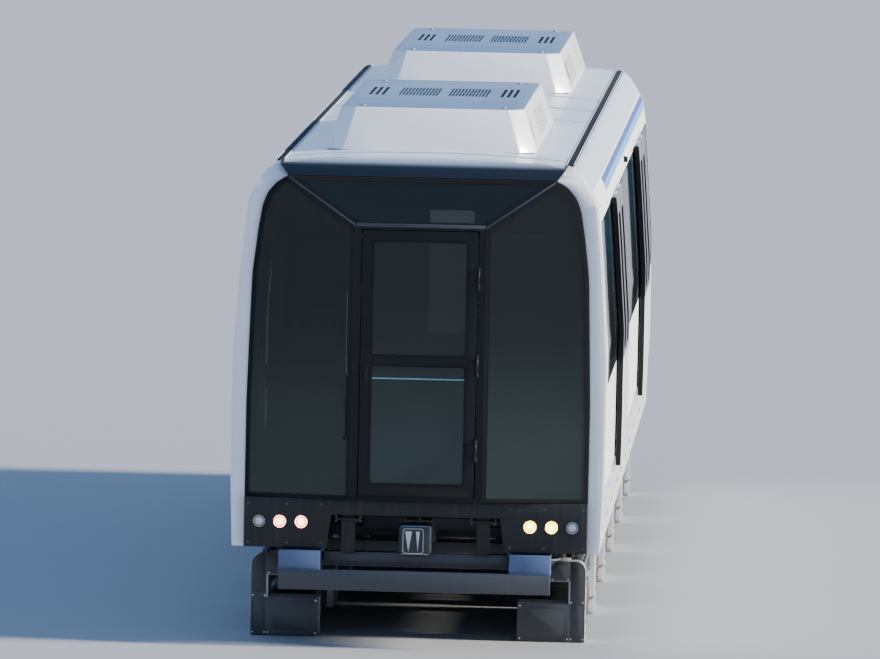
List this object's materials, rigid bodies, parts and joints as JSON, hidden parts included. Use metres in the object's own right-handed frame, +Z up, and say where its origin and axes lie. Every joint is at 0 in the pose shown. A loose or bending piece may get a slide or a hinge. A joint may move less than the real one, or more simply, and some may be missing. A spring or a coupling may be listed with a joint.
{
  "type": "urban maglev train lead car",
  "caption": "Lead car of an urban maglev train with sliding doors, a faceted glass face and steering modules that clasp the guideway rails.",
  "frame": {"origin": "centre of the car's length and width, at the underside of the modules, which stand on the floor", "axes": "+X forward to the glass face, +Y to the car's left, +Z up"},
  "size_m": [14, 2.706, 3.7],
  "materials": {
    "body_white": "gloss white paint",
    "roof_white": "satin white paint",
    "hood_slate": "dark slate paint",
    "mask_grey": "dark grey satin paint",
    "frame_black": "black satin paint",
    "glass_dark": "tinted safety glass",
    "module_grey": "cast and painted light alloy",
    "under_grey": "dark grey underframe paint",
    "deflector_grey": "light grey paint",
    "bellows_rubber": "matt folded rubber",
    "door_white": "white leaf with a dark upper part",
    "trim_grey": "light grey moulded panel",
    "desk_black": "black moulded desk",
    "seat_blue": "blue woven seat cloth",
    "rail_steel": "polished stainless tube",
    "coupler_steel": "dark cast steel",
    "lamp_clear": "clear lamp lens, lit",
    "wiper_black": "black wiper arm and blade"
  },
  "bodies": {
    "car_body": {"side_wall_left": "body_white", "side_wall_right": "body_white", "roof": "roof_white", "skirt_left": "body_white", "skirt_right": "body_white", "underframe": "under_grey", "underfloor_equipment": "under_grey", "rear_end_wall": "body_white", "gangway_bellows": "bellows_rubber", "front_ring": "body_white", "roof_hood": "hood_slate", "front_panel": "mask_grey", "windscreen": "glass_dark", "windscreen_frame": "frame_black", "headlamps_left": "lamp_clear", "headlamps_right": "lamp_clear", "air_unit_rear": "body_white", "air_unit_front": "body_white", "coupler_yoke_front": "under_grey", "coupler_yoke_rear": "under_grey", "deflector": "deflector_grey", "wiper": "wiper_black", "bench_middle_left": "seat_blue", "bench_middle_right": "seat_blue", "bench_rear_left": "seat_blue", "bench_rear_right": "seat_blue", "handrail_left": "rail_steel", "handrail_right": "rail_steel", "cab_partition": "trim_grey", "driver_desk": "desk_black", "driver_seat": "seat_blue", "window_rear_left": "glass_dark", "window_rear_right": "glass_dark", "window_middle_left": "glass_dark", "window_middle_right": "glass_dark", "window_front_left": "glass_dark", "window_front_right": "glass_dark", "module_3_left": "module_grey", "module_3_right": "module_grey"},
    "bogie_1": {"module_1_left": "module_grey", "module_1_right": "module_grey"},
    "bogie_2": {"module_2_left": "module_grey", "module_2_right": "module_grey"},
    "bogie_4": {"module_4_left": "module_grey", "module_4_right": "module_grey"},
    "bogie_5": {"module_5_left": "module_grey", "module_5_right": "module_grey"},
    "leaf_rear_left_a": {"door_rear_left_a": "door_white"},
    "leaf_rear_left_b": {"door_rear_left_b": "door_white"},
    "leaf_rear_right_a": {"door_rear_right_a": "door_white"},
    "leaf_rear_right_b": {"door_rear_right_b": "door_white"},
    "leaf_front_left_a": {"door_front_left_a": "door_white"},
    "leaf_front_left_b": {"door_front_left_b": "door_white"},
    "leaf_front_right_a": {"door_front_right_a": "door_white"},
    "leaf_front_right_b": {"door_front_right_b": "door_white"},
    "front_door": {"front_door": "frame_black"},
    "coupler_front": {"coupler_front": "coupler_steel"},
    "coupler_rear": {"coupler_rear": "coupler_steel"}
  },
  "joints": [
    {"name": "bogie_5_steer", "type": "hinge", "parent": "car_body", "child": "bogie_5", "pos_m": [2.5, 0, 0.95], "axis": [0, 0, 1], "range_deg": [-3.8, 3.8]},
    {"name": "bogie_4_steer", "type": "hinge", "parent": "car_body", "child": "bogie_4", "pos_m": [1.25, 0, 0.95], "axis": [0, 0, 1], "range_deg": [-1.9, 1.9]},
    {"name": "bogie_2_steer", "type": "hinge", "parent": "car_body", "child": "bogie_2", "pos_m": [-1.25, 0, 0.95], "axis": [0, 0, 1], "range_deg": [-1.9, 1.9]},
    {"name": "bogie_1_steer", "type": "hinge", "parent": "car_body", "child": "bogie_1", "pos_m": [-2.5, 0, 0.95], "axis": [0, 0, 1], "range_deg": [-3.8, 3.8]},
    {"name": "door_rear_left_a_slide", "type": "slide", "parent": "car_body", "child": "leaf_rear_left_a", "axis": [-1, 0, 0], "range_m": [0, 0.7]},
    {"name": "door_rear_left_b_slide", "type": "slide", "parent": "car_body", "child": "leaf_rear_left_b", "axis": [1, 0, 0], "range_m": [0, 0.7]},
    {"name": "door_rear_right_a_slide", "type": "slide", "parent": "car_body", "child": "leaf_rear_right_a", "axis": [-1, 0, 0], "range_m": [0, 0.7]},
    {"name": "door_rear_right_b_slide", "type": "slide", "parent": "car_body", "child": "leaf_rear_right_b", "axis": [1, 0, 0], "range_m": [0, 0.7]},
    {"name": "door_front_left_a_slide", "type": "slide", "parent": "car_body", "child": "leaf_front_left_a", "axis": [-1, 0, 0], "range_m": [0, 0.7]},
    {"name": "door_front_left_b_slide", "type": "slide", "parent": "car_body", "child": "leaf_front_left_b", "axis": [1, 0, 0], "range_m": [0, 0.7]},
    {"name": "door_front_right_a_slide", "type": "slide", "parent": "car_body", "child": "leaf_front_right_a", "axis": [-1, 0, 0], "range_m": [0, 0.7]},
    {"name": "door_front_right_b_slide", "type": "slide", "parent": "car_body", "child": "leaf_front_right_b", "axis": [1, 0, 0], "range_m": [0, 0.7]},
    {"name": "front_door_hinge", "type": "hinge", "parent": "car_body", "child": "front_door", "pos_m": [6.988, 0.4085, 1.99], "axis": [0, 0, 1], "range_deg": [0, 95]},
    {"name": "coupler_front_swing", "type": "hinge", "parent": "car_body", "child": "coupler_front", "pos_m": [6.2, 0, 0.76], "axis": [0, 0, 1], "range_deg": [-15, 15]},
    {"name": "coupler_rear_swing", "type": "hinge", "parent": "car_body", "child": "coupler_rear", "pos_m": [-6.3, 0, 0.76], "axis": [0, 0, 1], "range_deg": [-15, 15]}
  ],
  "couplings": [
    {"joint": "bogie_4_steer", "follows": "bogie_5_steer", "ratio": 0.5},
    {"joint": "bogie_2_steer", "follows": "bogie_5_steer", "ratio": -0.5},
    {"joint": "bogie_1_steer", "follows": "bogie_5_steer", "ratio": -1},
    {"joint": "door_rear_left_b_slide", "follows": "door_rear_left_a_slide", "ratio": 1},
    {"joint": "door_rear_right_b_slide", "follows": "door_rear_right_a_slide", "ratio": 1},
    {"joint": "door_front_left_b_slide", "follows": "door_front_left_a_slide", "ratio": 1},
    {"joint": "door_front_right_b_slide", "follows": "door_front_right_a_slide", "ratio": 1}
  ]
}
